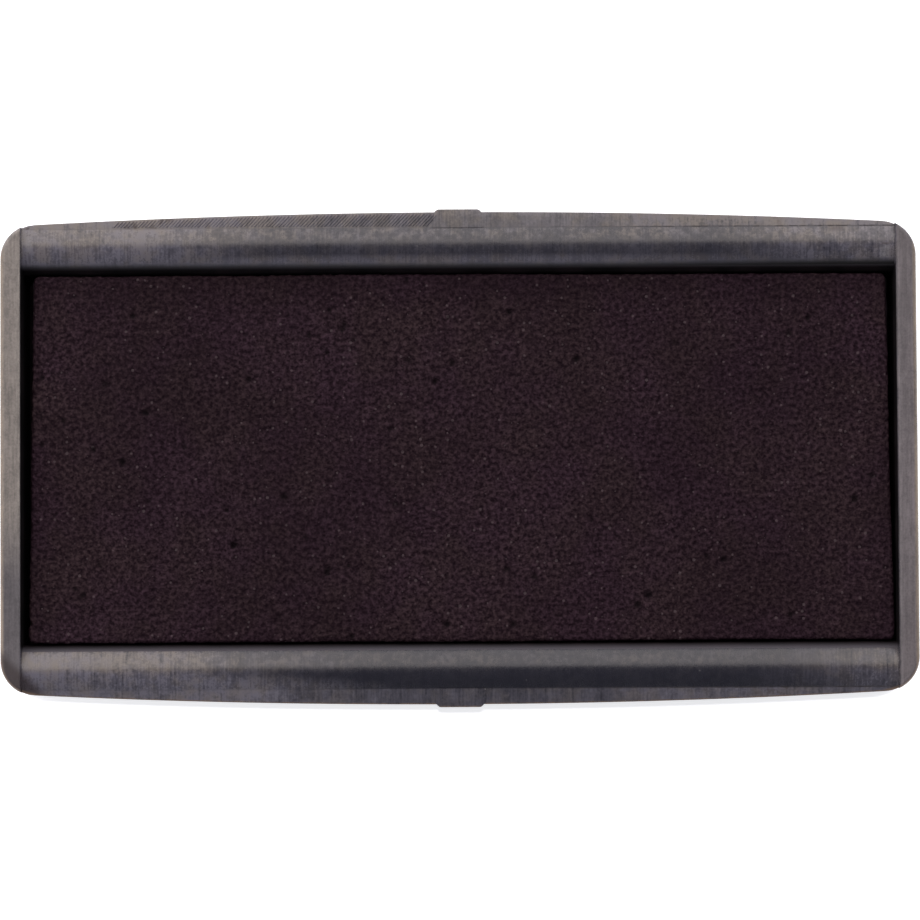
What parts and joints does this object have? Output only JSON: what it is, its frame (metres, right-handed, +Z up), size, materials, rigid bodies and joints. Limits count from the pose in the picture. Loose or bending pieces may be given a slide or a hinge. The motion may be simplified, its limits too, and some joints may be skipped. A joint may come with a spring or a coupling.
{
  "type": "ink pad",
  "caption": "Rectangular ink pad cartridge: a low plastic tray with rounded rails and bowed sides holds an ink-soaked pad that gives when pressed.",
  "frame": {"origin": "middle of the base, on the plane that the tray rests on", "axes": "+X along the length, towards the end with the narrower gap beside the pad; +Y across, towards the rail at the top of the picture; +Z up, out of the pad's face"},
  "size_m": [0.078, 0.0426, 0.009],
  "materials": {
    "tray_plastic": "satin, moulded, stained with ink",
    "adhesive_film": "translucent double-sided film",
    "inked_felt": "pressed felt, soaked with ink",
    "inked_foam": "fine open-cell foam, moist with ink"
  },
  "bodies": {
    "cartridge": {"tray": "tray_plastic", "adhesive_sheet": "adhesive_film", "reservoir_felt": "inked_felt"},
    "inking_face": {"inking_foam": "inked_foam"}
  },
  "joints": [
    {"name": "pad_press", "type": "slide", "parent": "cartridge", "child": "inking_face", "axis": [0, 0, -1], "range_m": [0, 0.0006], "stiffness_N_per_m": 10000, "deforming": ["reservoir_felt"]}
  ]
}
